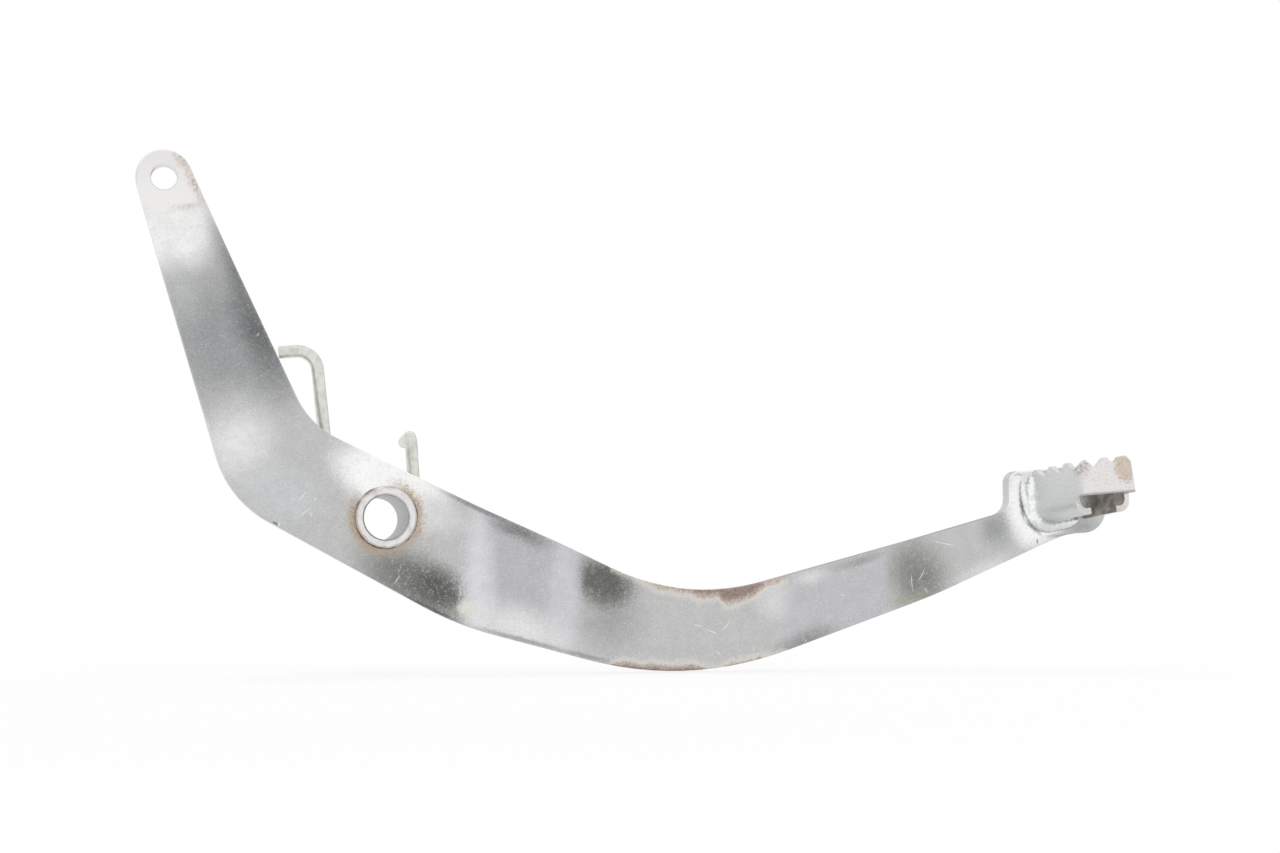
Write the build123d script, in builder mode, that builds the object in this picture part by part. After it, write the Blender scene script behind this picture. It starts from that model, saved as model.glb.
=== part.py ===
import os
from math import asin, atan2, cos, hypot, radians, sin, sqrt, tan

from build123d import *

os.makedirs("parts", exist_ok=True)

# All sizes are in millimetres. X runs forward to the toe, Y inboard along the pivot axis, Z up.
# The origin lies on the pivot axis, at the middle of the plate's thickness.

# Arm: a pressed steel plate, with the corners of its blank given forward and up from the pivot
plate = 6.0
clevis = (-69.4, 106.3)
clevis_bore = 8.2
eye_round = 8.7
heel = (-48.4, 5.1)
heel_round = 34.0
crotch = (-24.0, 28.7)
crotch_round = 26.0
underside = [(22.9, -33.8), (96.5, -53.7), (178.0, -23.8)]
underside_rounds = [110.0, 110.0, 150.0]
belly_top = (95.1, -27.4)
belly_top_round = 74.0
nose_end = 237.3
nose_floor = -4.1
nose_start = 223.6
nose_start_round = 27.0
nose_round = 8.0
nose_top = 18.8
nose_top_round = 12.0
head_back = 202.9
head_top = 15.9
head_round = 3.8
neck_height = 2.8
neck_round = 5.5
rim_bevel = 0.5
bore_break = 0.15

# Steps pressed into the plate: outboard twice on the way to the toe, inboard once up the lever
first_step = 9.0
first_step_start = 29.0
first_step_run = 26.8
first_step_round = 24.0
second_step = 6.0
second_step_start = 122.0
second_step_run = 46.0
second_step_round = 45.0
lever_step = 8.0
lever_step_start = 41.0
lever_step_run = 53.0
lever_step_round = 60.0
lever_seam = 25.0

# Pivot tube and the weld behind the plate
pivot_bore = 14.0
tube_wall = 2.5
tube_proud = 1.5
tube_length = 32.5
tube_chamfer = 0.5
tube_fit = 0.05
pivot_weld_leg = 2.5
weld_fullness = 0.62

# Toe tread: one folded strip with walls on three sides and curled flanges under the long two.
# The front teeth are uneven, each corner given by its place and its share of a tooth's height
sheet = 2.0
tread_width = 22.5
tread_length = 23.4
tread_setback = 13.4
tread_rise = 0.0
tread_splay = 14.0
tread_tilt = 6.5
tread_roll = 4.5
tread_corner = 3.2
curl_round = 4.4
flange_reach = 6.0
flange_setback = 5.4
front_lift = 1.3
tooth_valley = 13.9
tooth_fall = 1.0
tooth_height = 3.6
tooth_pitch = 7.8
tooth_round = 1.4
side_teeth = 4
tooth_lead = 1.2
front_row = [(-16.0, 0), (-11.8, 0.95), (-9.4, 0.95), (-5.6, 0)]
front_row += [(-0.9, 1.1), (2.5, 0.3), (5.2, 1), (7.6, 1), (12.0, 0)]
toe_weld_radius = 2.6
toe_weld_offset = 1.0
toe_weld_height = 15.0
toe_weld_reach = 14.0

# Return spring: a torsion spring loose on the tube, with one leg on the lever's edge.
# Its round wire is drawn with flats
wire = 4.0
wire_side_count = 14
spring_play = 2.25
coil_back = 1.7
seat_gap = 0.3
coil_gap = 0.35
coil_turns = 2
pedal_leg_lean = 7.0
frame_leg_lean = 3.3
hook_height = 52.9
hook_drop = 1.2
hook_round = 6.3
frame_leg_height = 27.4
frame_hook = 18.0
frame_hook_drop = 1.2
frame_hook_round = 4.0

# Faces and radii that several pieces share
front_face = -plate / 2
back_face = plate / 2
toe_face = front_face - first_step - second_step
tube_radius = pivot_bore / 2 + tube_wall
clear = 4 * nose_end


# Pedal arm: the blank's outline
blank_corners = [heel, *underside, (nose_start, nose_floor), (nose_end, nose_floor), (nose_end, nose_top)]
blank_corners += [(head_back, head_top), (head_back, neck_height), belly_top, crotch]
blank_rounds = [*underside_rounds, nose_start_round, nose_round, nose_top_round]
blank_rounds += [head_round, neck_round, belly_top_round]

with BuildSketch(Plane.XZ) as blank:
    with BuildLine():
        CenterArc(clevis, eye_round, 0, 360)
        Line(crotch, heel)
    make_hull()
    with BuildLine():
        FilletPolyline(*blank_corners, radius=blank_rounds)
        Line(crotch, heel)
    make_face()
    fillet(blank.vertices().sort_by_distance(heel)[0], heel_round)
    fillet(blank.vertices().sort_by_distance(crotch)[0], crotch_round)


# The plate follows the outline and the pressed steps: the forward half and the lever meet at a flat seam
lever_root = ((heel[0] + crotch[0]) / 2, (heel[1] + crotch[1]) / 2)
lever_axis = Vector(clevis[0] - lever_root[0], 0, clevis[1] - lever_root[1]).normalized()
lever_section = Plane(origin=(0, 0, 0), x_dir=lever_axis, z_dir=lever_axis.cross(Vector(0, 1, 0)))
seam = Plane(origin=lever_axis * lever_seam, z_dir=lever_axis)
first_step_end = first_step_start + first_step_run
second_step_end = second_step_start + second_step_run
lever_step_end = lever_step_start + lever_step_run

with BuildPart() as forward_arm:
    extrude(blank.sketch, amount=clear, both=True)
    with BuildSketch():
        with BuildLine():
            FilletPolyline(
                (-clear, 0),
                (first_step_start, 0),
                (first_step_end, -first_step),
                (second_step_start, -first_step),
                (second_step_end, -first_step - second_step),
                (clear, -first_step - second_step),
                radius=[first_step_round, first_step_round, second_step_round, second_step_round],
            )
        trace(line_width=plate)
    extrude(amount=clear, both=True, mode=Mode.INTERSECT)
    split(bisect_by=seam, keep=Keep.BOTTOM)

with BuildPart() as lever:
    extrude(blank.sketch, amount=clear, both=True)
    with BuildSketch(lever_section):
        with BuildLine():
            FilletPolyline(
                (-clear, 0),
                (lever_step_start, 0),
                (lever_step_end, lever_step),
                (clear, lever_step),
                radius=lever_step_round,
            )
        trace(line_width=plate)
    extrude(amount=clear, both=True, mode=Mode.INTERSECT)
    split(bisect_by=seam, keep=Keep.TOP)

# The rims are the edges of the walls round the plate, apart from those that cross its thickness
wall_lean = 0.1
rim_slope = 0.9
with BuildPart() as pedal_arm:
    add(forward_arm.part)
    add(lever.part)
    walls = pedal_arm.faces().filter_by(lambda face: abs(face.normal_at().Y) < wall_lean)
    chamfer(walls.edges().filter_by(lambda edge: abs((edge % 0.5).Y) < rim_slope), rim_bevel)
    with BuildSketch(Plane.XZ):
        Circle(tube_radius + tube_fit)
    extrude(amount=clear, both=True, mode=Mode.SUBTRACT)
    with BuildSketch(Plane.XZ):
        with Locations(clevis):
            Circle(clevis_bore / 2)
    extrude(amount=clear, both=True, mode=Mode.SUBTRACT)
    chamfer(pedal_arm.edges(Select.LAST).filter_by(GeomType.CIRCLE), bore_break)
pedal_arm.part.label = "pedal_arm"
export_step(pedal_arm.part, "parts/pedal_arm.step")


# Pivot tube, through the plate and standing proud of its front face
tube_front = front_face - tube_proud
with BuildPart() as pivot_tube:
    with BuildSketch(Plane.XZ.offset(-tube_front)):
        Circle(tube_radius)
        Circle(pivot_bore / 2, mode=Mode.SUBTRACT)
    extrude(amount=-tube_length)
    chamfer(pivot_tube.edges().filter_by(GeomType.CIRCLE), tube_chamfer)
pivot_tube.part.label = "pivot_tube"
export_step(pivot_tube.part, "parts/pivot_tube.step")

# Pivot weld: a fillet bead round the tube, on the back of the plate
weld_root = tube_radius + tube_fit
weld_toe = weld_root + pivot_weld_leg
weld_top = back_face + pivot_weld_leg
weld_swell = pivot_weld_leg * weld_fullness
with BuildPart() as pivot_weld:
    with BuildSketch():
        with BuildLine():
            Polyline(
                (weld_root, weld_top),
                (weld_root, back_face),
                (weld_toe, back_face),
                (weld_root + weld_swell, back_face + weld_swell),
                close=True,
            )
        make_face()
    revolve(axis=Axis.Y)
pivot_weld.part.label = "pivot_weld"
export_step(pivot_weld.part, "parts/pivot_weld.step")

# Toe tread: planes along its length, across it and up, turned from the toe's front face
tread_origin = (nose_end - tread_setback, toe_face, tread_rise)
tread_outboard = Vector(sin(radians(tread_splay)), -cos(radians(tread_splay)), tan(radians(tread_tilt)))
tread_across = Vector(cos(radians(tread_splay)), sin(radians(tread_splay)), tan(radians(tread_roll)))
tread_plan = Plane(origin=tread_origin, x_dir=tread_outboard, z_dir=tread_outboard.cross(tread_across))
tread_section = Plane(origin=tread_origin, x_dir=tread_plan.y_dir, z_dir=tread_plan.x_dir)
tread_side = Plane(origin=tread_origin, x_dir=tread_plan.x_dir, z_dir=-tread_plan.y_dir)
toe_seat = Plane(origin=tread_origin, x_dir=(1, 0, 0), z_dir=(0, -1, 0))
half_width = tread_width / 2
wall_middle = half_width - sheet / 2
tread_root = tread_width
tooth_tip = tooth_valley + tooth_height + (tread_length + tread_width) * tan(radians(tooth_fall))
flange_front = tread_length - flange_setback
corner_tooth = tread_length - sheet / 2 + tooth_lead
side_row = [(corner_tooth - n * tooth_pitch / 2, (n + 1) % 2) for n in range(2 * side_teeth - 1, -2, -1)]


def tooth_line(row, fall):
    """Corners along a row of teeth that falls towards its end."""
    end = row[-1][0]
    slope = tan(radians(fall))
    return [(place, tooth_valley + tooth_height * share + (end - place) * slope) for place, share in row]


with BuildPart() as toe_tread:
    with BuildSketch(tread_plan.offset(curl_round)):
        with BuildLine():
            FilletPolyline(
                (-tread_root, -wall_middle),
                (tread_length - sheet / 2, -wall_middle),
                (tread_length - sheet / 2, wall_middle),
                (-tread_root, wall_middle),
                radius=tread_corner - sheet / 2,
            )
        trace(line_width=sheet)
    extrude(amount=tooth_tip - curl_round)
    with BuildSketch(tread_section.offset(-tread_root)):
        with BuildLine():
            FilletPolyline(
                (-wall_middle, 2 * curl_round),
                (-wall_middle, sheet / 2),
                (-half_width + flange_reach, sheet / 2),
                radius=curl_round - sheet / 2,
            )
        trace(line_width=sheet)
        mirror(about=Plane.YZ)
    extrude(amount=tread_root + flange_front)
    with BuildSketch(tread_plan):
        with Locations((flange_front + tread_width / 2, 0)):
            Rectangle(tread_width, 2 * tread_width)
    extrude(amount=curl_round + front_lift, mode=Mode.SUBTRACT)
    for side in (-1, 1):
        with BuildSketch(tread_side.offset(side * half_width)):
            with BuildLine():
                teeth = FilletPolyline(*tooth_line(side_row, tooth_fall), radius=tooth_round)
                Polyline(teeth @ 1, (clear, clear), (-clear, clear), teeth @ 0)
            make_face()
        extrude(amount=-side * tread_corner, mode=Mode.SUBTRACT)
    with BuildSketch(tread_section.offset(tread_length)):
        with BuildLine():
            teeth = FilletPolyline(*tooth_line(front_row, 0), radius=tooth_round)
            Polyline(teeth @ 1, (clear, clear), (-clear, clear), teeth @ 0)
        make_face()
    extrude(amount=-tread_corner, mode=Mode.SUBTRACT)
    split(bisect_by=toe_seat, keep=Keep.TOP)
toe_tread.part.label = "toe_tread"
export_step(toe_tread.part, "parts/toe_tread.step")

# Toe weld: a bead on the toe's face, down the tread's rear wall and along under its flange
weld_across = Vector(cos(radians(tread_roll)), 0, sin(radians(tread_roll)))
weld_plane = Plane(origin=tread_origin, x_dir=weld_across, z_dir=(0, -1, 0))
weld_rear = -half_width / cos(radians(tread_splay)) - toe_weld_offset
with BuildPart() as toe_weld:
    with BuildLine(weld_plane) as bead:
        FilletPolyline(
            (weld_rear, toe_weld_height),
            (weld_rear, -toe_weld_offset),
            (weld_rear + toe_weld_reach, -toe_weld_offset),
            radius=curl_round + toe_weld_offset,
        )
    with BuildSketch(Plane(origin=bead.line @ 0, z_dir=bead.line % 0)):
        Circle(toe_weld_radius)
    sweep()
    split(bisect_by=toe_seat, keep=Keep.TOP)
    add(toe_tread.part, mode=Mode.SUBTRACT)
toe_weld.part.label = "toe_weld"
export_step(toe_weld.part, "parts/toe_weld.step")

# Return spring: the coil, then a leg that bears on the lever's edge and a hooked leg for the frame
coil_radius = tube_radius + spring_play + wire / 2
coil_pitch = wire + coil_gap
coil_start = weld_top + seat_gap + wire / 2
coil_drop = sqrt((spring_play - seat_gap) ** 2 - coil_back**2)
coil_end = coil_turns + (180 + frame_leg_lean - pedal_leg_lean) / 360
quarter_turn = 0.25
coil_joins = [quarter_turn + half / 2 for half in range(2 * coil_turns + 1)]


def coil_place(turns):
    """A point on the coil's middle line and the way the wire runs there, so many turns from the pedal leg."""
    angle = radians(180 + pedal_leg_lean + 360 * turns)
    across = coil_radius * cos(angle) - coil_back
    up = coil_radius * sin(angle) - coil_drop
    return Vector(across, coil_start + coil_pitch * turns, up), Vector(-sin(angle), 0, cos(angle))


def lever_edge(height):
    """Forward place of the lever's front edge, a line from the crotch that touches the eye's round."""
    rise = clevis[1] - crotch[1]
    run = clevis[0] - crotch[0]
    slope = atan2(rise, run) - asin(eye_round / hypot(rise, run))
    return crotch[0] + (height - crotch[1]) / tan(slope)


# The coil is a chain of half turns that join below and above the tube, so both legs leave it on its slope
with BuildPart() as return_spring:
    with BuildLine() as wire_line:
        place, heading = coil_place(coil_joins[0])
        bend = TangentArc(place, coil_place(0)[0], tangent=-heading)
        pedal_leg = bend % 1
        hook_corner = bend @ 1 + pedal_leg * ((hook_height - (bend @ 1).Z) / pedal_leg.Z)
        hook_tip_height = hook_height - hook_drop
        hook_edge = lever_edge(hook_tip_height - wire / 2)
        hook_tip = Vector(hook_edge + seat_gap, hook_corner.Y, hook_tip_height)
        FilletPolyline(hook_tip, hook_corner, bend @ 1, radius=hook_round)
        for start, end in zip(coil_joins, [*coil_joins[1:], coil_end]):
            place, heading = coil_place(start)
            bend = TangentArc(place, coil_place(end)[0], tangent=heading)
        frame_leg = bend % 1
        frame_corner = bend @ 1 + frame_leg * ((frame_leg_height - (bend @ 1).Z) / frame_leg.Z)
        frame_tip = frame_corner + Vector(0, frame_hook, -frame_hook_drop)
        FilletPolyline(bend @ 1, frame_corner, frame_tip, radius=frame_hook_round)
    with BuildSketch(Plane(origin=hook_tip, z_dir=hook_corner - hook_tip)):
        RegularPolygon(wire / 2, wire_side_count)
    sweep(path=wire_line.line)
return_spring.part.label = "return_spring"
export_step(return_spring.part, "parts/return_spring.step")
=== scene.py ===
from math import cos, pi, radians, sin

import bpy
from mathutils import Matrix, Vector, noise


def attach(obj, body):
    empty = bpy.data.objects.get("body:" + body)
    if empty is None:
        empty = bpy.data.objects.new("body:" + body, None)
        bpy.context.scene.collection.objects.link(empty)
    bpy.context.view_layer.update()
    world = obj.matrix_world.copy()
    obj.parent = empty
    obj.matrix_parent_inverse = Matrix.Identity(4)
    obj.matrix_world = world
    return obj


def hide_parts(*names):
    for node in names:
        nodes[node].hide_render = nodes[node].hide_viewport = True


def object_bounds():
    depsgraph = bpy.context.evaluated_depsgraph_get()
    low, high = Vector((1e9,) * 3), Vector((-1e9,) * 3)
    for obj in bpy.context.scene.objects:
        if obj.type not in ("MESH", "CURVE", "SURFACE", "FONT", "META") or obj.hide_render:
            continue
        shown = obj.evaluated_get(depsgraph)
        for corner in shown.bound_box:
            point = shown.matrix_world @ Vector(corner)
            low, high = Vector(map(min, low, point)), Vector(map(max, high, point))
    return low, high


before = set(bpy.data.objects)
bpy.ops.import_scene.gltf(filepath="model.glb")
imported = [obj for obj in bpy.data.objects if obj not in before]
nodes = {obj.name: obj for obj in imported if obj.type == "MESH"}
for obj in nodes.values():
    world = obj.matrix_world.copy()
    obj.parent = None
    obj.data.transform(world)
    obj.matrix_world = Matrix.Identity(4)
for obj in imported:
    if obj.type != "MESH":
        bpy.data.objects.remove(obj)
cad_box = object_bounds()

# Places are written in millimetres in the part's frame: X forward to the toe, Y inboard, Z up
MM = 0.001


# Node graphs


class Graph:
    """A node tree, with short names for the nodes used here."""

    def __init__(self, tree):
        self.tree = tree

    def node(self, kind, **settings):
        made = self.tree.nodes.new(kind)
        for key, value in settings.items():
            setattr(made, key, value)
        return made

    def feed(self, socket, value):
        """Links a node's output to a socket, or sets a plain value there."""
        if isinstance(value, bpy.types.NodeSocket):
            self.tree.links.new(value, socket)
        else:
            socket.default_value = value

    def math(self, operation, *values):
        made = self.node("ShaderNodeMath", operation=operation)
        for socket, value in zip(made.inputs, values):
            self.feed(socket, value)
        return made.outputs["Value"]

    def plus(self, first, second):
        return self.math("ADD", first, second)

    def minus(self, first, second):
        return self.math("SUBTRACT", first, second)

    def times(self, first, second):
        return self.math("MULTIPLY", first, second)

    def highest(self, *values):
        result = values[0]
        for value in values[1:]:
            result = self.math("MAXIMUM", result, value)
        return result

    def vector(self, operation, *values, scale=None):
        made = self.node("ShaderNodeVectorMath", operation=operation)
        for socket, value in zip(made.inputs, values):
            self.feed(socket, value)
        if scale is not None:
            self.feed(made.inputs["Scale"], scale)
        scalar = operation in ("DOT_PRODUCT", "LENGTH", "DISTANCE")
        return made.outputs["Value" if scalar else "Vector"]

    def dot(self, first, second):
        return self.vector("DOT_PRODUCT", first, second)

    def split(self, vector):
        made = self.node("ShaderNodeSeparateXYZ")
        self.feed(made.inputs[0], vector)
        return made.outputs

    def step(self, value, low, high, start=0.0, end=1.0):
        """A smooth step from start to end as the value goes from low to high."""
        made = self.node("ShaderNodeMapRange", interpolation_type="SMOOTHSTEP")
        for socket, number in zip(made.inputs, (value, low, high, start, end)):
            self.feed(socket, number)
        return made.outputs["Result"]

    def bank(self, value, rise, fall):
        """1 between two soft ends, each given by where it starts and where it is done."""
        return self.times(self.step(value, *rise), self.step(value, *fall, 1.0, 0.0))

    def mix(self, share, first, second):
        """A blend of two colours."""
        made = self.node("ShaderNodeMix", data_type="RGBA")
        self.feed(made.inputs[0], share)
        self.feed(made.inputs[6], first)
        self.feed(made.inputs[7], second)
        return made.outputs[2]


class Finish(Graph):
    """A material's node tree. It knows the point being shaded, in millimetres, and its facing."""

    def __init__(self, name):
        self.material = bpy.data.materials.new(name)
        self.material.use_nodes = True
        super().__init__(self.material.node_tree)
        self.shader = self.tree.nodes["Principled BSDF"]
        place = self.node("ShaderNodeTexCoord").outputs["Object"]
        self.place = self.vector("SCALE", place, scale=1 / MM)
        self.x, self.y, self.z = self.split(self.place)
        self.facing = self.node("ShaderNodeNewGeometry").outputs["True Normal"]

    def noise_node(self, size, detail, rough, at):
        made = self.node("ShaderNodeTexNoise")
        self.feed(made.inputs["Vector"], at or self.place)
        made.inputs["Scale"].default_value = 1 / size
        made.inputs["Detail"].default_value = detail
        made.inputs["Roughness"].default_value = rough
        return made

    def noise(self, size, detail=2.0, rough=0.5, at=None):
        """Soft noise whose lumps are about so many millimetres wide."""
        return self.noise_node(size, detail, rough, at).outputs["Fac"]

    def stripes(self, value, axis, size, detail):
        """Noise that changes with one value only, taken along one axis of the noise."""
        along = self.node("ShaderNodeCombineXYZ")
        self.feed(along.inputs[axis], value)
        return self.noise(size, detail, at=along.outputs[0])

    def pushed(self, size, reach, detail=2.0):
        """The point being shaded, pushed about by up to half the reach, so that outlines wander."""
        push = self.noise_node(size, detail, 0.5, None).outputs["Color"]
        push = self.vector("SUBTRACT", push, (0.5, 0.5, 0.5))
        return self.vector("ADD", self.place, self.vector("SCALE", push, scale=reach))

    def bump(self, height, depth, normal=None):
        """Bumps of so many millimetres."""
        made = self.node("ShaderNodeBump")
        made.inputs["Distance"].default_value = depth * MM
        self.feed(made.inputs["Height"], height)
        if normal is not None:
            self.feed(made.inputs["Normal"], normal)
        return made.outputs["Normal"]

    def ring(self, x, z):
        """Distance in millimetres from an axis across the plate."""
        away = self.vector("SUBTRACT", self.place, (x, 0, z))
        return self.vector("LENGTH", self.vector("MULTIPLY", away, (1, 0, 1)))

    def spot(self, middle, radii, turn=0.0, core=0.0, at=None):
        """A soft spot on the plate: 1 in its core, 0 past its radii, turned up from forward in degrees."""
        away = self.vector("SUBTRACT", at or self.place, (middle[0], 0, middle[1]))
        c, s = cos(radians(turn)), sin(radians(turn))
        u = self.dot(away, (c / radii[0], 0, s / radii[0]))
        v = self.dot(away, (-s / radii[1], 0, c / radii[1]))
        reach = self.math("SQRT", self.plus(self.times(u, u), self.times(v, v)))
        return self.step(reach, core, 1.0, 1.0, 0.0)

    def done(self, colour, roughness, metallic, normal):
        inputs = self.shader.inputs
        self.feed(inputs["Base Color"], colour)
        self.feed(inputs["Roughness"], roughness)
        self.feed(inputs["Metallic"], metallic)
        self.feed(inputs["Normal"], normal)
        return self.material


def tone(level, tint=(1.0, 1.0, 1.0)):
    """An opaque colour of one level, with its red, green and blue shares."""
    return (level * tint[0], level * tint[1], level * tint[2], 1.0)


PLAIN = (1.0, 1.0, 0.995)
COOL = (0.965, 1.0, 1.02)
LILAC = (0.985, 0.985, 1.03)
OLIVE = (0.99, 1.0, 0.945)
YELLOW = (1.05, 1.0, 0.74)
BARE = (1.015, 0.99, 0.985)
CREAM = (1.04, 1.0, 0.91)
BROWN = (1.1, 1.0, 0.89)
ZINC = (1.0, 1.0, 0.96)
ZINC_YELLOW = (1.0, 1.0, 0.89)
TREAD_GREY = (0.985, 1.0, 0.995)
RUST_DARK = (0.26, 0.19, 0.175, 1.0)
RUST_MIDDLE = (0.41, 0.31, 0.275, 1.0)
RUST_TAN = (0.54, 0.41, 0.30, 1.0)
RUST_PALE = (0.56, 0.44, 0.37, 1.0)
RUST_ORANGE = (0.72, 0.52, 0.33, 1.0)
JOINT_SHADOW_DARK = (0.10, 0.085, 0.075, 1.0)

# Tones laid over the arm's satin finish, partly tarnish and partly painted reflections and shade: middle,
# radii, turn, core, level, tint and strength
ARM_TONES_AND_PAINTED_LIGHT = [
    # Lever, between the eye and the corner
    ((-68, 92), (21, 17), 110, 0.5, 0.91, PLAIN, 1.0),
    ((-48, 55), (27, 26), 108, 0.3, 0.41, COOL, 0.95),
    ((-40, 58), (29, 10), 113, 0.0, 0.16, COOL, 0.85),
    ((-64, 72), (15, 7), 108, 0.0, 0.62, COOL, 0.8),
    ((-47, 78), (24, 6.5), 113, 0.0, 0.24, COOL, 0.85),
    ((-46, 25), (20, 17), 100, 0.05, 0.84, PLAIN, 0.95),
    ((-33, 7), (18, 12), -20, 0.2, 0.63, COOL, 0.8),
    # Round the pivot
    ((1.5, 10.5), (26, 13.5), -28, 0.45, 0.98, PLAIN, 1.0),
    ((16, 1), (14, 8), -25, 0.2, 0.68, PLAIN, 0.8),
    ((9, -20), (28, 14), -30, 0.2, 0.21, OLIVE, 1.0),
    ((17, -22), (15, 9), -30, 0.1, 0.11, OLIVE, 0.9),
    # First bend: dark patches beyond it, its face with two pale bands, a bright streak and a dark one
    ((70, -31), (17, 17), 0, 0.0, 0.38, PLAIN, 0.9),
    ((67, -20), (15, 10), -22, 0.3, 0.15, OLIVE, 1.0),
    ((42, -20), (20, 40), -2, 0.75, 0.53, LILAC, 1.0),
    ((29.5, -19), (7, 32), -2, 0.3, 0.69, LILAC, 1.0),
    ((54.5, -26), (7.5, 30), -2, 0.3, 0.61, LILAC, 1.0),
    ((41, -34), (24, 10), -16, 0.0, 0.90, PLAIN, 0.8),
    ((42, -4.4), (14, 4), -26, 0.0, 0.19, PLAIN, 0.85),
    # Second bend: a dark patch beyond it, its plain face, two pale patches and two dark edges
    ((171, -18), (15, 18), 10, 0.1, 0.25, OLIVE, 1.0),
    ((144, -24), (19, 40), -8, 0.80, 0.54, LILAC, 0.9),
    ((123, -26), (9, 10), 10, 0.0, 0.72, PLAIN, 0.8),
    ((136, -19), (8, 4), 15, 0.0, 0.76, PLAIN, 0.8),
    ((134, -39), (15, 6), 20, 0.1, 0.28, PLAIN, 0.85),
    ((152, -13.6), (14, 2.4), 17, 0.0, 0.34, OLIVE, 0.8),
    # Toward the toe
    ((193, -17), (17, 5), 26, 0.1, 0.74, PLAIN, 0.9),
    ((198, -3), (9, 8.5), 20, 0.0, 0.34, COOL, 0.9),
    ((212, 7), (12.5, 20), 0, 0.55, 1.0, PLAIN, 1.0),
]

# Thin lines and nicks, painted shadow lines beside the toe weld and under the tread's flange, and the
# nose's painted shade, in the same terms, with steadier outlines
ARM_LINES_AND_PAINTED_SHADOWS = [
    ((30, 2.6), (18, 1.4), -25, 0.2, 0.25, PLAIN, 0.85),
    ((25.4, -28.5), (4.4, 3.6), 0, 0.2, 0.74, CREAM, 0.9),
    ((14, -28.6), (13, 1.2), -25, 0.2, 0.10, OLIVE, 0.8),
    ((43, -38.4), (24, 1.2), -15, 0.1, 0.28, PLAIN, 0.7),
    ((63, -43.6), (12, 1.0), -14, 0.2, 0.30, OLIVE, 0.7),
    ((168, -25.5), (13, 2.4), 17, 0.0, 0.36, YELLOW, 0.55),
    ((207.2, 4.6), (1.2, 6.5), 8, 0.2, 0.22, PLAIN, 0.85),
    ((211.2, -2.4), (5.2, 1.3), -40, 0.2, 0.26, PLAIN, 0.85),
    ((222, -5.0), (9, 1.0), 3, 0.2, 0.40, PLAIN, 0.8),
    ((-34.2, -1.9), (1.5, 0.45), -25, 0.2, 0.16, PLAIN, 0.9),
    ((-33.0, -2.2), (0.5, 1.0), -10, 0.2, 0.85, PLAIN, 0.9),
    ((212.6, -7.0), (0.45, 1.4), 10, 0.2, 0.25, PLAIN, 0.9),
    ((228, -2), (9, 5), 0, 0.0, 0.36, COOL, 0.8),
]

# Light brown staining: middle, radii, turn and strength
ARM_STAINS = [
    ((-63.6, 111.4), (7, 2.8), -48, 0.8),
    ((-59.8, 104.5), (9, 2.8), -66, 0.9),
    ((-62.0, 97.2), (8, 1.8), 10, 0.5),
    ((206.5, 15.0), (2.6, 0.7), 5, 1.0),
    ((183.5, -20.9), (1.6, 0.8), 20, 1.0),
    ((194, -17.7), (2.4, 0.7), 20, 1.0),
]

# Scratches: the half width of all, then middle, half length and turn of each
SCRATCH_HALF_WIDTH = 0.17
ARM_SCRATCHES = [
    ((98.4, -34.0), 2.2, -16),
    ((103.2, -36.0), 2.8, -25),
    ((107.8, -34.2), 3.2, 48),
    ((105.2, -42.8), 1.6, -40),
    ((117.0, -41.6), 1.2, 82),
    ((-26.0, 6.4), 2.6, 50),
    ((-22.0, 5.4), 1.0, 60),
    ((-25.0, 1.6), 2.6, 40),
    ((-23.2, 0.8), 1.0, 100),
    ((180.0, -7.8), 5.2, -12),
    ((172.0, -18.0), 3.4, 62),
    ((168.6, -20.5), 3.6, 95),
    ((173.5, -23.0), 1.4, -60),
    ((146.0, -24.5), 1.0, -35),
    ((3.5, -19.5), 2.6, 55),
    ((-40.0, 57.0), 1.0, 60),
]

# Arcs of the arm's edges at the belly: middle forward and up, and radius
BELLY_TOP = (101.7, 51.3, 74.0)
BELLY_FLOOR = (91.4, 61.6, 110.0)

# Rust along those edges: where a patch starts, where it ends and how far in it creeps
TOP_RUST = [
    ((76, 86), (98, 104), 1.8),
    ((93, 99), (103, 109), 3.6),
    ((102, 108), (111, 129), 5.6),
    ((110, 116), (124, 136), 2.2),
]
FLOOR_RUST = [
    ((66, 76), (96, 106), 2.6),
    ((104, 110), (114, 128), 1.3),
]
RUST_STARTS = (62, 70)
RUST_ENDS = (128, 136)
RUST_CUT = 300.0

# The middle of the bare patch at the eye, the tube and its bore, and the arm's back face
BARE_MIDDLE = (-68.5, 107.5)
TUBE_RADIUS = 9.5
BORE_RADIUS = 7.0
PLATE_BACK = 3.0


def belly_rust(g):
    """How deep a point lies in the rust that creeps in from the belly's two edges, in millimetres."""

    def creep(patches):
        return g.highest(*[g.times(g.bank(g.x, start, end), reach) for start, end, reach in patches])

    top = g.minus(g.plus(creep(TOP_RUST), BELLY_TOP[2]), g.ring(*BELLY_TOP[:2]))
    floor = g.minus(g.plus(creep(FLOOR_RUST), g.ring(*BELLY_FLOOR[:2])), BELLY_FLOOR[2])
    ragged = g.plus(g.times(g.noise(1.3, 4.0, 0.65), 3.0), g.times(g.noise(5.0, 1.0), 2.0))
    depth = g.plus(g.highest(top, floor), g.minus(ragged, 3.2))
    beyond = g.minus(g.bank(g.x, RUST_STARTS, RUST_ENDS), 1.0)
    return g.plus(depth, g.times(beyond, RUST_CUT))


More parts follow.
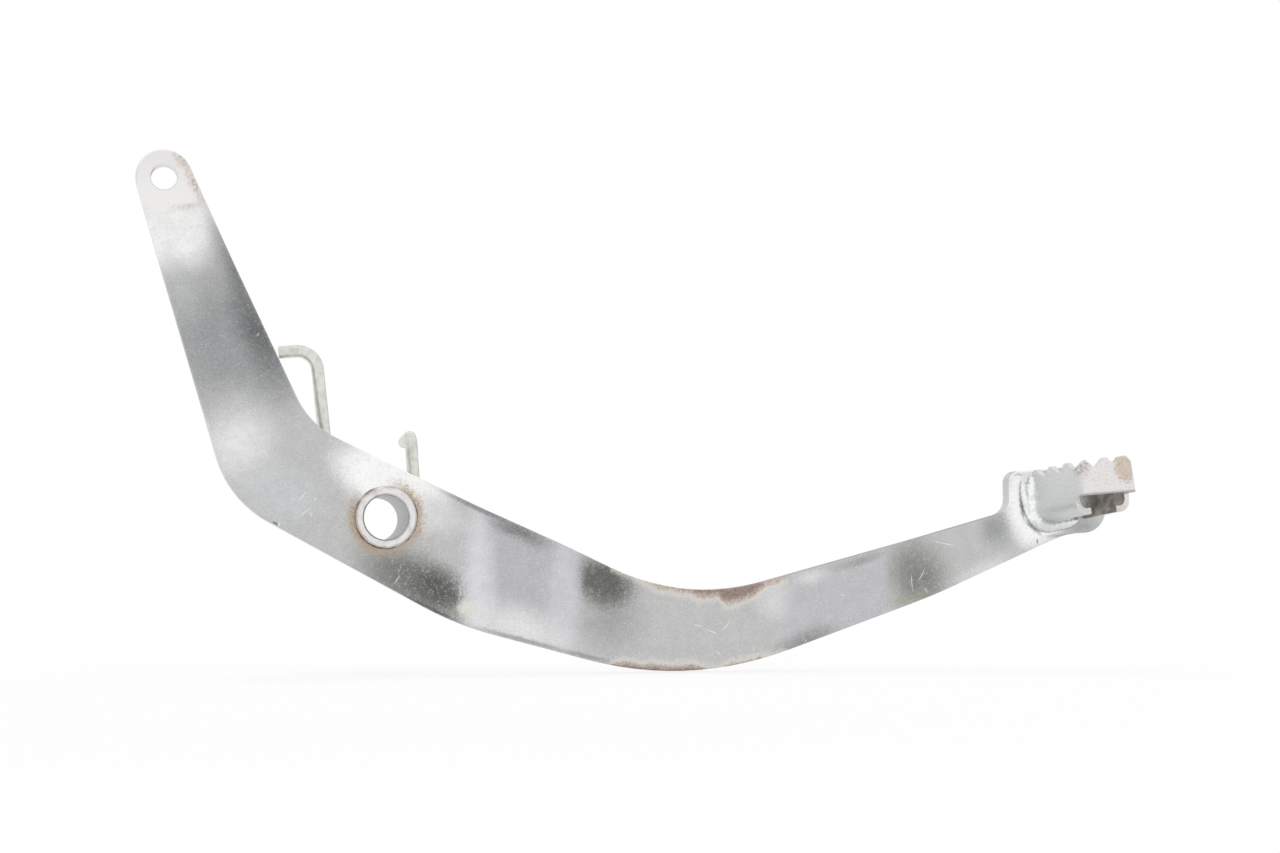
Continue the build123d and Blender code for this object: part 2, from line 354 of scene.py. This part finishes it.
def pivot_halo(g, radius):
    """Brown bleeding out of the joint round the tube, all round but at the top."""
    ragged = g.plus(radius, g.times(g.minus(g.noise(0.7, 4.0, 0.75), 0.5), 9.0))
    inner = g.step(radius, TUBE_RADIUS, TUBE_RADIUS + 0.2)
    outer = g.step(ragged, TUBE_RADIUS + 0.7, TUBE_RADIUS + 3.9, 1.0, 0.0)
    where = g.highest(
        g.step(g.plus(g.x, g.times(g.z, 0.25)), 2.0, 9.0),
        g.step(g.plus(g.x, g.times(g.z, 0.5)), -2.0, -9.0),
        g.step(g.z, -5.0, -10.0, 0.0, 0.7),
    )
    return g.times(g.times(inner, outer), where)


def arm_finish():
    """Satin silver paint: finely grained, worn bare at the eye, stained and rusted at its edges, with
    painted reflections and shade in broad zones, on its rims and in the joint round the tube.
    """
    g = Finish("arm_finish")
    wander = g.pushed(24.0, 9.0, 2.0)
    grained = g.pushed(0.55, 9.0, 3.0)
    blend = g.vector("ADD", g.vector("SCALE", wander, scale=0.5), g.vector("SCALE", grained, scale=0.5))
    steady = g.pushed(1.4, 1.2, 3.0)
    torn = g.pushed(1.6, 3.0, 4.0)
    inboard = g.split(g.facing)[1]

    # Patches and lines, with painted reflections and shade among them, fainter on the back
    front = g.step(inboard, -0.3, 0.3, 1.0, 0.4)
    colour = tone(0.55, PLAIN)
    for spots, at in ((ARM_TONES_AND_PAINTED_LIGHT, blend), (ARM_LINES_AND_PAINTED_SHADOWS, steady)):
        for middle, radii, turn, core, level, tint, strength in spots:
            share = g.times(g.times(g.spot(middle, radii, turn, core, at), strength), front)
            colour = g.mix(share, colour, tone(level, tint))

    # Grain, mottling and pale flecks
    grain = g.noise(0.45, 3.0, 0.7)
    cloud = g.noise(4.0, 4.0, 0.6)
    shade = g.plus(g.step(grain, 0.3, 0.7, 0.90, 1.08), g.step(cloud, 0.3, 0.7, -0.035, 0.035))
    colour = g.vector("SCALE", colour, scale=shade)
    mottle = g.step(g.noise(1.6, 4.0, 0.7), 0.48, 0.68)
    colour = g.mix(g.times(mottle, 0.22), colour, tone(0.58, OLIVE))
    fleck = g.step(g.noise(0.55, 1.0), 0.60, 0.74)
    colour = g.mix(g.times(fleck, 0.3), colour, tone(0.85, PLAIN))

    # Bare metal round the eye, and rims painted darker where they face sideways: partly the tone of cut
    # edges, partly painted shade
    bare = g.spot(BARE_MIDDLE, (14.5, 13.2), 0, 0.78, blend)
    colour = g.mix(g.times(bare, 0.85), colour, tone(0.91, BARE))
    rim_shade_facing = g.math("ABSOLUTE", inboard)
    colour = g.mix(g.step(rim_shade_facing, 0.45, 0.7, 0.45, 0.0), colour, tone(0.45, PLAIN))

    # Stains, and a painted shadow in the joint round the tube
    radius = g.ring(0, 0)
    stains = []
    for middle, radii, turn, strength in ARM_STAINS:
        stains.append(g.times(g.spot(middle, radii, turn, 0.1, torn), strength))
    stain = g.times(g.highest(*stains), g.step(g.noise(1.0, 3.0), 0.35, 0.6, 0.3, 1.0))
    stain = g.highest(stain, pivot_halo(g, radius))
    colour = g.mix(g.times(stain, 0.8), colour, RUST_TAN)
    colour = g.mix(g.step(g.times(stain, g.noise(0.5, 2.0)), 0.44, 0.6, 0.0, 0.55), colour, RUST_DARK)
    # Painted shadow: a thin, patchy dark ring in the crease where the tube meets the plate
    joint = g.step(radius, TUBE_RADIUS + 0.3, TUBE_RADIUS + 0.65, 1.0, 0.0)
    joint = g.times(joint, g.step(g.noise(6.0, 2.0), 0.42, 0.58, 0.2, 0.85))
    colour = g.mix(joint, colour, JOINT_SHADOW_DARK)

    # Rust from the belly's edges: a pale border, a light edge and a dark core
    rust = belly_rust(g)
    patchy = g.noise(0.8, 3.0, 0.6)
    speckled = g.noise(0.5, 3.0, 0.7)
    pale = g.times(g.step(rust, -2.6, -0.6), g.step(speckled, 0.42, 0.56, 0.2, 0.8))
    colour = g.mix(pale, colour, tone(0.72, CREAM))
    edge = g.times(g.step(rust, -0.5, 0.7), g.step(speckled, 0.58, 0.44, 0.3, 1.0))
    colour = g.mix(edge, colour, RUST_PALE)
    dark = g.step(g.plus(rust, g.times(g.minus(patchy, 0.5), 7.0)), 0.3, 2.2)
    colour = g.mix(dark, colour, g.mix(g.step(patchy, 0.40, 0.62), RUST_DARK, RUST_MIDDLE))

    # Scratches
    scratches = []
    for middle, half, turn in ARM_SCRATCHES:
        scratches.append(g.spot(middle, (half, SCRATCH_HALF_WIDTH), turn, 0.3))
    colour = g.mix(g.times(g.highest(*scratches), 0.8), colour, tone(0.92, PLAIN))

    # Rough and dull where it is stained or rusted
    worn = g.highest(g.step(rust, -0.4, 0.6), g.times(stain, 0.5))
    rough = g.plus(g.step(grain, 0.35, 0.75, 0.24, 0.34), g.times(worn, 0.4))
    metal = g.minus(1.0, g.times(worn, 0.9))
    normal = g.bump(grain, 0.008)
    normal = g.bump(g.times(g.step(rust, -0.4, 0.6), patchy), 0.2, normal)
    return g.done(colour, rough, metal, normal)


def tube_finish():
    """Bare turned steel, ringed inside the bore and painted dark there as painted shade, browned at its
    front rim.
    """
    g = Finish("tube_steel")
    radius = g.ring(0, 0)
    lines = g.stripes(radius, 0, 0.14, 2.0)
    rings = g.stripes(g.y, 1, 1.8, 3.0)
    colour = g.mix(g.step(g.noise(2.2, 3.0), 0.42, 0.72), tone(0.83, BARE), tone(0.66, BARE))
    # Painted shade: the bore's wall is painted dark, with turned rings in it
    wall = g.mix(g.step(rings, 0.40, 0.60), tone(0.24, PLAIN), tone(0.42, PLAIN))
    colour = g.mix(g.step(radius, BORE_RADIUS + 0.05, BORE_RADIUS + 0.2, 1.0, 0.0), colour, wall)
    patches = g.step(g.plus(g.noise(3.0, 3.0), g.times(g.x, -0.012)), 0.42, 0.62)
    outer = g.step(radius, TUBE_RADIUS - 1.0, TUBE_RADIUS - 0.1)
    ahead = g.step(g.y, -PLATE_BACK, 1.0, 1.0, 0.15)
    rim = g.times(g.times(outer, patches), ahead)
    colour = g.mix(g.times(rim, 0.7), colour, RUST_TAN)
    return g.done(colour, g.step(lines, 0.3, 0.7, 0.26, 0.42), 1.0, g.bump(lines, 0.012))


def spring_finish():
    """Zinc plate with a greenish yellow cast on drawn wire."""
    g = Finish("spring_zinc")
    fine = g.noise(0.5, 2.0)
    colour = g.mix(g.step(g.noise(2.2, 3.0), 0.35, 0.7), tone(0.80, ZINC), tone(0.66, ZINC_YELLOW))
    colour = g.vector("SCALE", colour, scale=g.step(fine, 0.3, 0.7, 0.94, 1.04))
    return g.done(colour, g.step(fine, 0.3, 0.7, 0.34, 0.44), 1.0, g.bump(fine, 0.006))


def weld_finish():
    """The arm's silver finish over weld metal: bright on its crowns and greyer on its flanks as painted
    shade, greyer low down.
    """
    g = Finish("weld_finish")
    fine = g.noise(0.6, 2.0)
    flank_shade = g.step(g.split(g.facing)[1], -0.8, -0.25)
    colour = g.mix(g.step(g.noise(2.2, 3.0), 0.42, 0.66), tone(1.0, PLAIN), tone(0.86, COOL))
    # Painted shade: faces turned away from the front are greyer
    colour = g.mix(g.times(flank_shade, 0.8), colour, tone(0.50, COOL))
    colour = g.mix(g.step(g.z, 1.0, -2.0, 0.0, 0.6), colour, tone(0.60, COOL))
    colour = g.vector("SCALE", colour, scale=g.step(fine, 0.3, 0.7, 0.93, 1.04))
    return g.done(colour, g.step(fine, 0.3, 0.7, 0.34, 0.44), 1.0, g.bump(fine, 0.015))


# The toe's face, the tread's foot on it, and the tread's roll, splay, rises and own directions
TOE_FACE = -18.0
TREAD_FOOT = 223.9
TREAD_ROLL = radians(4.5)
TREAD_SPLAY = radians(14)
TREAD_RISE_OUT = 0.114
TREAD_RISE_ACROSS = 0.079
TREAD_MIDDLE = (TREAD_FOOT, TOE_FACE, 0.0)
TREAD_OUT = Vector((sin(TREAD_SPLAY), -cos(TREAD_SPLAY), TREAD_RISE_OUT)).normalized()
TREAD_ACROSS = Vector((cos(TREAD_SPLAY), sin(TREAD_SPLAY), TREAD_RISE_ACROSS)).normalized()
TREAD_UP = TREAD_OUT.cross(TREAD_ACROSS)

# The front wall's place and lower edge, and the tips of two of its teeth
TREAD_FRONT = 20.0
TREAD_LIP = 5.7
OUTER_TOOTH = (234.6, -38.0, 16.5)
CORNER_TOOTH = (217.5, -40.7, 17.0)


def tread_finish():
    """Worn finish of the tread: painted lighter in front as a painted lit side, and specked there; sooty
    and rusty on two teeth; brown inside, from grime and painted shade.
    """
    g = Finish("tread_finish")
    fine = g.noise(0.5, 3.0, 0.7)
    away = g.vector("SUBTRACT", g.place, TREAD_MIDDLE)
    across = g.dot(away, TREAD_ACROSS)
    up = g.dot(away, TREAD_UP)
    out = g.dot(g.facing, TREAD_OUT)
    # Outward faces are painted lighter than the rest, a painted lit side, and all of it darker towards the
    # bottom
    front = g.step(out, 0.5, 0.85)
    colour = g.mix(front, tone(0.76, TREAD_GREY), tone(0.84, BARE))
    colour = g.vector("SCALE", colour, scale=g.step(fine, 0.3, 0.7, 0.86, 1.08))
    colour = g.vector("SCALE", colour, scale=g.step(up, -1.0, 4.5, 0.85, 1.0))

    # Specks, the dark lower edge in front, and the two marked teeth
    crumbs = g.plus(g.noise(0.42, 2.0, 0.6), g.times(g.noise(3.5, 2.0), 0.22))
    speck = g.times(g.step(crumbs, 0.75, 0.83), g.step(front, 0.0, 1.0, 0.12, 0.75))
    colour = g.mix(speck, colour, RUST_DARK)
    reach = g.dot(away, TREAD_OUT)
    lip = g.step(up, TREAD_LIP, TREAD_LIP + 1.0, 0.6, 0.0)
    lip = g.times(g.step(reach, TREAD_FRONT, TREAD_FRONT + 1.0), lip)
    colour = g.mix(lip, colour, RUST_DARK)
    sooty = g.step(g.vector("DISTANCE", g.place, CORNER_TOOTH), 1.5, 4.6, 0.65, 0.0)
    colour = g.mix(g.times(sooty, g.step(g.noise(0.9, 3.0, 0.65), 0.40, 0.62)), colour, RUST_DARK)
    tooth = g.plus(g.vector("DISTANCE", g.place, OUTER_TOOTH), g.times(g.noise(1.4, 4.0, 0.65), 4.0))
    rusty = g.step(tooth, 4.6, 7.4, 1.0, 0.0)
    colour = g.mix(g.times(rusty, 0.5), colour, RUST_TAN)
    orange = g.times(rusty, g.step(g.noise(0.7, 3.0, 0.6), 0.5, 0.6))
    colour = g.mix(g.times(orange, 0.85), colour, RUST_ORANGE)
    brown = g.times(g.bank(tooth, (3.5, 5.0), (6.6, 7.6)), g.step(g.noise(0.5, 2.0), 0.56, 0.64))
    colour = g.mix(g.times(brown, 0.7), colour, RUST_DARK)

    # Dirt and painted shade on the faces that look inward, up to a little below the teeth
    sideways = g.times(g.dot(g.facing, TREAD_ACROSS), g.step(across, -0.5, 0.5, -1.0, 1.0))
    bottom = g.times(g.step(g.dot(g.facing, TREAD_UP), 0.4, 0.7), g.step(up, 4.0, 5.0, 1.0, 0.0))
    inside = g.highest(g.step(sideways, -0.7, -0.3, 1.0, 0.0), g.step(out, -0.8, -0.5, 1.0, 0.0), bottom)
    below = g.step(up, 8.0, 12.5, 1.0, 0.0)
    inside = g.times(g.times(inside, below), g.step(g.noise(2.0, 3.0), 0.3, 0.6, 0.75, 1.0))
    dirt_and_shade = g.mix(g.step(g.noise(3.0, 3.0), 0.4, 0.6), tone(0.20, BROWN), tone(0.38, BROWN))
    colour = g.mix(inside, colour, dirt_and_shade)
    dull = g.highest(rusty, inside)
    rough = g.plus(g.step(fine, 0.3, 0.7, 0.42, 0.54), g.times(dull, 0.2))
    return g.done(colour, rough, g.minus(1.0, g.times(dull, 0.85)), g.bump(fine, 0.02))


def dress(name, material, edge=0.0, flats=True):
    """Gives a CAD node its material, smooth rounds and even flats, and softens its edges if asked."""
    piece = nodes[name]
    piece.data.materials.clear()
    piece.data.materials.append(material)
    piece.data.shade_smooth()
    if edge or not flats:
        join = piece.modifiers.new("joined_faces", "WELD")
        join.merge_threshold = 0.002 * MM
    if edge:
        soften = piece.modifiers.new("soft_edges", "BEVEL")
        soften.width = edge * MM
        soften.segments = 2
        soften.limit_method = "ANGLE"
        soften.angle_limit = radians(40)
        soften.use_clamp_overlap = True
    else:
        smooth = piece.modifiers.new("smooth_rounds", "EDGE_SPLIT")
        smooth.split_angle = radians(60)
    if flats:
        level = piece.modifiers.new("face_normals", "WEIGHTED_NORMAL")
        level.weight = 80
        level.keep_sharp = True


dress("pedal_arm", arm_finish())
dress("pivot_tube", tube_finish())
dress("toe_tread", tread_finish(), 0.3)
dress("return_spring", spring_finish(), flats=False)


# Weld beads

WELD = weld_finish()


def add_piece(name, verts, faces, node):
    """A mesh piece, in millimetres, that stands for a CAD node."""
    mesh = bpy.data.meshes.new(name)
    mesh.from_pydata([Vector(v) * MM for v in verts], [], faces)
    mesh.materials.append(WELD)
    mesh.shade_smooth()
    piece = bpy.data.objects.new(name, mesh)
    bpy.context.scene.collection.objects.link(piece)
    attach(piece, "root")
    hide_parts(node)
    return piece


def smooth_run(points, spacing):
    """Points about so far apart on a smooth line through the given ones, each with a radius last."""
    ends = [points[0], *points, points[-1]]
    run = []
    for before, start, end, after in zip(ends, ends[1:], ends[2:], ends[3:]):
        p0, p1, p2, p3 = Vector(before), Vector(start), Vector(end), Vector(after)
        steps = max(2, round((p2 - p1).length / spacing))
        for n in range(steps):
            t = n / steps
            bend = 2 * p0 - 5 * p1 + 4 * p2 - p3
            twist = 3 * p1 - p0 - 3 * p2 + p3
            curve = (p2 - p0) * t + bend * t**2 + twist * t**3
            run.append(p1 + curve / 2)
    return [*run, Vector(points[-1])]


BEAD_PITCH = 1.5
BEAD_SPACING = 0.25
BEAD_SIDES = 20
BEAD_SINK = 0.15
BEAD_LEAN = 1.1
BEAD_RIPPLE = 0.04
BEAD_LUMP = 0.10
LUMPS_PER_MM = 0.55
LUMPS_PER_RADIAN = 0.5
MELT_SIZE = 0.22

# Strands of the toe weld on the arm's face: along the tread's foot, up, and radius
TOE_STRANDS = [
    [(-11.9, 15.4, 1.2), (-12.1, 12.5, 2.0), (-12.3, 8.0, 2.2), (-12.2, 4.0, 2.3), (-10.8, 0.2, 2.3),
     (-8.6, -1.1, 2.3), (-6.0, -1.1, 2.3), (-3.2, -0.8, 2.3), (-0.6, -0.4, 2.2), (1.4, -0.1, 1.8),
     (3.0, 0.1, 1.0)],
    [(-15.3, 14.2, 0.7), (-15.2, 11.6, 1.5), (-14.9, 8.0, 1.6), (-14.4, 4.4, 1.5), (-13.2, 1.4, 1.4),
     (-11.2, -1.2, 1.2), (-8.8, -2.6, 0.9), (-7.0, -3.1, 0.5)],
]


def add_toe_bead():
    """Two strands of weld metal laid side by side down the tread's rear wall and along under its flange."""
    verts = []
    faces = []
    for strand in TOE_STRANDS:
        run = smooth_run(strand, BEAD_SPACING)
        first = len(verts)
        gone = 0.0
        for n, point in enumerate(run):
            a, b, radius = point
            ahead = run[min(n + 1, len(run) - 1)] - run[max(n - 1, 0)]
            along = Vector((ahead.x, ahead.y)).normalized()
            gone += (point - run[max(n - 1, 0)]).length
            for side in range(BEAD_SIDES):
                turn = 2 * pi * side / BEAD_SIDES
                crown = max(0.0, sin(turn))
                wave = sin(2 * pi * (gone + BEAD_LEAN * crown) / BEAD_PITCH)
                lump = noise.noise((a * LUMPS_PER_MM, b * LUMPS_PER_MM, turn * LUMPS_PER_RADIAN))
                reach = radius * (1 + BEAD_RIPPLE * wave + BEAD_LUMP * lump)
                a_side = a - along.y * reach * cos(turn)
                b_side = b + along.x * reach * cos(turn)
                y = min(TOE_FACE - reach * sin(turn), TOE_FACE + BEAD_SINK)
                x = TREAD_FOOT + a_side * cos(TREAD_ROLL) - b_side * sin(TREAD_ROLL)
                z = a_side * sin(TREAD_ROLL) + b_side * cos(TREAD_ROLL)
                verts.append((x, y, z))
        for n in range(len(run) - 1):
            for side in range(BEAD_SIDES):
                here = first + n * BEAD_SIDES
                then = here + BEAD_SIDES
                over = (side + 1) % BEAD_SIDES
                faces.append((here + side, here + over, then + over, then + side))
        last = first + (len(run) - 1) * BEAD_SIDES
        faces.append(tuple(range(first, first + BEAD_SIDES))[::-1])
        faces.append(tuple(range(last, last + BEAD_SIDES)))
    bead = add_piece("toe_bead", verts, faces, "toe_weld")
    melt = bead.modifiers.new("melt", "REMESH")
    melt.mode = "VOXEL"
    melt.voxel_size = MELT_SIZE * MM
    melt.use_smooth_shade = True
    ease = bead.modifiers.new("ease", "SMOOTH")
    ease.factor = 0.5
    ease.iterations = 4


WELD_ROOT = 9.55
WELD_LEG = 2.5
WELD_SWELL = 0.62
RING_STEPS = 320
RING_RIPPLES = 44
RING_RIPPLE = 0.05
RING_LEAN = 1.6
RING_LUMP = 0.10
RING_LUMPS = 3
ARC_STEPS = 10


def add_pivot_bead():
    """A rippled fillet bead round the tube, on the back of the arm."""
    verts = []
    faces = []
    sides = ARC_STEPS + 2
    for n in range(RING_STEPS):
        turn = 2 * pi * n / RING_STEPS
        swell = 1 + RING_LUMP * noise.noise((RING_LUMPS * cos(turn), RING_LUMPS * sin(turn), 0))
        section = [(WELD_ROOT, PLATE_BACK)]
        for k in range(ARC_STEPS + 1):
            share = k / ARC_STEPS
            crown = 4 * share * (1 - share)
            wave = sin(RING_RIPPLES * turn + RING_LEAN * crown)
            leg = WELD_LEG * swell * (1 + RING_RIPPLE * wave * crown)
            bulge = 1 + (2 * WELD_SWELL - 1) * crown
            section.append((WELD_ROOT + leg * share * bulge, PLATE_BACK + leg * (1 - share) * bulge))
        for radius, y in section:
            verts.append((radius * cos(turn), y, radius * sin(turn)))
    for n in range(RING_STEPS):
        here = n * sides
        then = (n + 1) % RING_STEPS * sides
        for k in range(sides):
            over = (k + 1) % sides
            faces.append((here + k, then + k, then + over, here + over))
    add_piece("pivot_bead", verts, faces, "pivot_weld")


add_toe_bead()
add_pivot_bead()


# Floor, light and camera

FLOOR_GAP = 0.4
FLOOR_HALF = 4.0
FLOOR_COLOUR = 0.9
FLOOR_SHARE = 0.8
SHADOW_CORE = 0.2
SHADOW_REACH = 0.5
WALL_LEVEL = 0.98
END_SHADE = 0.3
ROOM_LIGHT = 0.8


def floor_material():
    """White to the eye and in reflections, apart from a share that takes the light and keeps the shadow."""
    material = bpy.data.materials.new("floor_white")
    material.use_nodes = True
    g = Graph(material.node_tree)
    g.tree.nodes.clear()
    diffuse = g.node("ShaderNodeBsdfDiffuse")
    g.feed(diffuse.inputs["Color"], tone(FLOOR_COLOUR))
    white = g.node("ShaderNodeEmission")
    both = g.node("ShaderNodeMixShader")
    path = g.node("ShaderNodeLightPath").outputs
    seen = g.highest(path["Is Camera Ray"], path["Is Glossy Ray"], path["Is Transmission Ray"])
    away = g.vector("LENGTH", g.node("ShaderNodeTexCoord").outputs["Object"])
    g.feed(both.inputs["Fac"], g.times(seen, g.step(away, SHADOW_CORE, SHADOW_REACH, FLOOR_SHARE, 1.0)))
    g.feed(both.inputs[1], diffuse.outputs[0])
    g.feed(both.inputs[2], white.outputs[0])
    g.feed(g.node("ShaderNodeOutputMaterial").inputs["Surface"], both.outputs[0])
    return material


def add_floor():
    """A wide floor just under the part."""
    mesh = bpy.data.meshes.new("floor")
    level = cad_box[0].z - FLOOR_GAP * MM
    corners = [(FLOOR_HALF * x, FLOOR_HALF * y, level) for x, y in ((-1, -1), (1, -1), (1, 1), (-1, 1))]
    mesh.from_pydata(corners, [], [(0, 1, 2, 3)])
    floor = bpy.data.objects.new("floor", mesh)
    bpy.context.scene.collection.objects.link(floor)
    mesh.materials.append(floor_material())


def add_softbox(name, place, aim, size, power):
    """A soft lamp, in metres and watts, that isn't seen in reflections."""
    light = bpy.data.lights.new(name, "AREA")
    light.shape = "RECTANGLE"
    light.size, light.size_y = size
    light.energy = power
    lamp = bpy.data.objects.new(name, light)
    lamp.visible_glossy = False
    lamp.location = place
    lamp.rotation_euler = (Vector(aim) - Vector(place)).to_track_quat("-Z", "Y").to_euler()
    bpy.context.scene.collection.objects.link(lamp)


def add_world():
    """Studio round the object: white behind it, pale walls in front, a bright panel and darker gaps."""
    world = bpy.data.worlds.new("studio")
    bpy.context.scene.world = world
    world.use_nodes = True
    g = Graph(world.node_tree)
    g.tree.nodes.clear()
    way = g.node("ShaderNodeTexCoord").outputs["Generated"]

    def lobe(azimuth, elevation, inner, outer, strength):
        """A soft round patch: degrees round from the front, degrees up, two half widths and strength."""
        a, e = radians(azimuth), radians(elevation)
        aim = (sin(a) * cos(e), -cos(a) * cos(e), sin(e))
        near = g.step(g.dot(way, aim), cos(radians(outer)), cos(radians(inner)))
        return g.times(near, strength)

    panel = lobe(-11, 0, 4, 13, 0.12)
    gap = lobe(-3, 27, 6, 16, 0.25)
    dim = lobe(-32, 0, 6, 16, 0.15)
    ends = g.highest(lobe(-95, 8, 5, 30, 0.6), lobe(150, 5, 5, 32, 1.7), lobe(212, 5, 5, 28, 0.3))
    behind = g.step(g.split(way)[1], -0.1, 0.4)
    level = g.minus(g.minus(g.plus(WALL_LEVEL, panel), gap), dim)
    level = g.minus(g.highest(level, behind), g.times(ends, END_SHADE))
    light = g.node("ShaderNodeLightPath").outputs
    glossy = g.times(light["Is Glossy Ray"], level)
    room = g.times(light["Is Diffuse Ray"], ROOM_LIGHT)
    seen = g.highest(light["Is Camera Ray"], light["Is Transmission Ray"], glossy, room)
    background = g.node("ShaderNodeBackground")
    g.feed(background.inputs["Color"], tone(1.0))
    g.feed(background.inputs["Strength"], seen)
    out = g.node("ShaderNodeOutputWorld")
    g.feed(out.inputs["Surface"], background.outputs[0])


def add_camera():
    """The photograph's view."""
    camera = bpy.data.cameras.new("camera")
    camera.lens = 57.6
    camera.sensor_width = 36.0
    camera.clip_start = 0.01
    eye = bpy.data.objects.new("camera", camera)
    eye.location = (-69.66 * MM, -645.51 * MM, -16.88 * MM)
    eye.rotation_euler = (radians(94.05), 0, radians(-13.25))
    bpy.context.scene.collection.objects.link(eye)
    bpy.context.scene.camera = eye


add_floor()
add_softbox("top_box", (0.1, 0.4, 1.3), (0.08, 0, 0), (1.2, 0.9), 6.0)
add_softbox("left_box", (-1.4, -0.6, 0.4), (0, 0, 0), (1.2, 1.2), 2.0)
add_softbox("right_box", (1.5, -0.6, 0.4), (0.15, 0, 0), (1.2, 1.2), 2.0)
add_world()
add_camera()
bpy.context.scene.view_settings.view_transform = "Standard"
